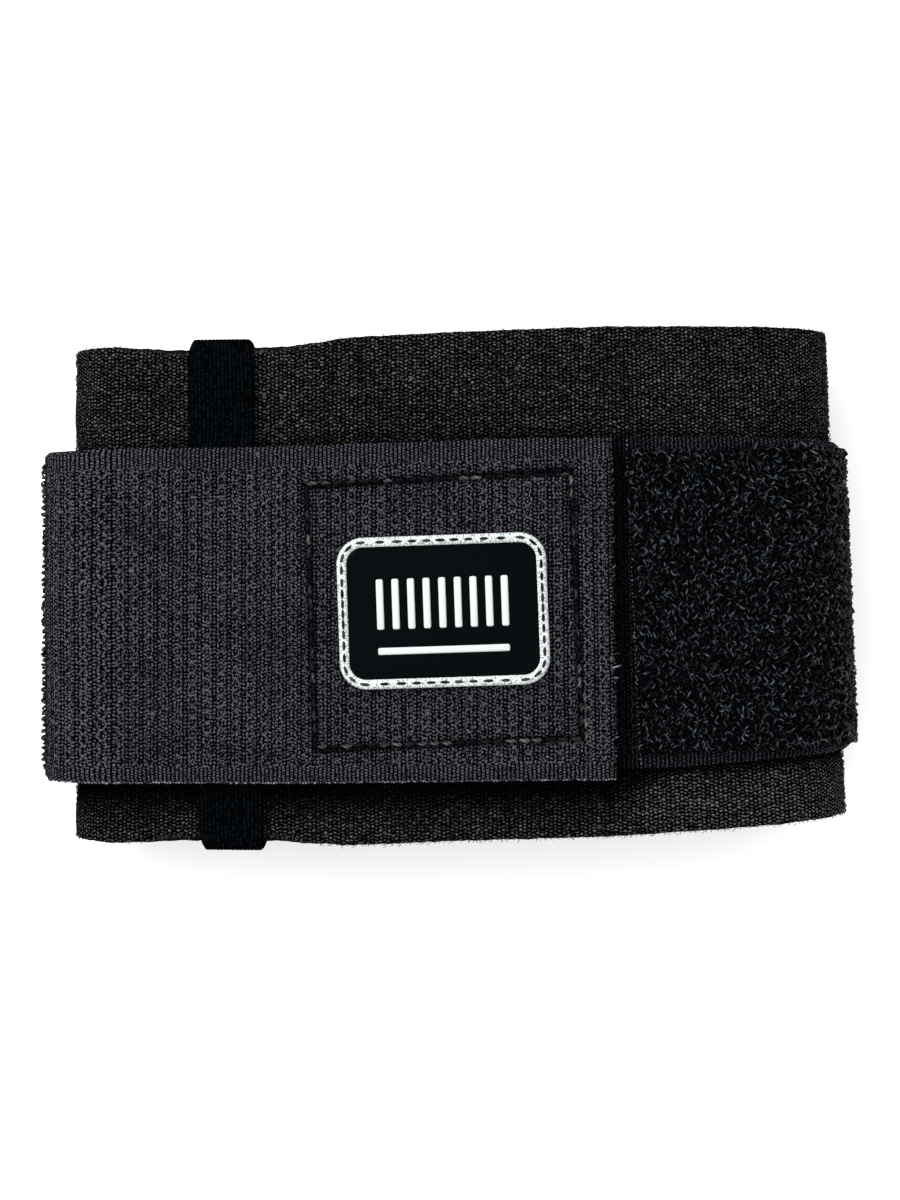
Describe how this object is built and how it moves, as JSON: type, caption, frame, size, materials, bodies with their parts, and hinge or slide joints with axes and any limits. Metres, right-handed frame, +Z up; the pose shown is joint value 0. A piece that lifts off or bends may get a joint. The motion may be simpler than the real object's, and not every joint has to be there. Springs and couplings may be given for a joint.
{
  "type": "elbow support",
  "caption": "Short neoprene forearm sleeve with an elastic strap wound once round it, hook tape under the free end, a loop pile panel and a webbing keeper.",
  "frame": {"origin": "middle of the support's bounding box in X and Y, on the surface that it lies on", "axes": "+X across the arm, towards the loop pile; +Y along the arm, towards the end of the sleeve that is at the top of the picture; +Z up, out of the front face that carries the badge"},
  "size_m": [0.1594, 0.0996, 0.0424],
  "materials": {
    "sleeve": "matte black-brown nylon knit over neoprene",
    "strap": "matte dark purple-grey woven elastic",
    "keeper": "black ribbed webbing",
    "hook_patch": "black hook tape",
    "loop_pile": "black curled loop pile",
    "badge_plate": "black moulded, satin",
    "badge_frame": "silver moulded, satin"
  },
  "bodies": {
    "root": {"sleeve": "sleeve", "strap": "strap", "keeper": "keeper", "hook_patch": "hook_patch", "loop_pile": "loop_pile", "badge_plate": "badge_plate", "badge_frame": "badge_frame"}
  },
  "joints": []
}
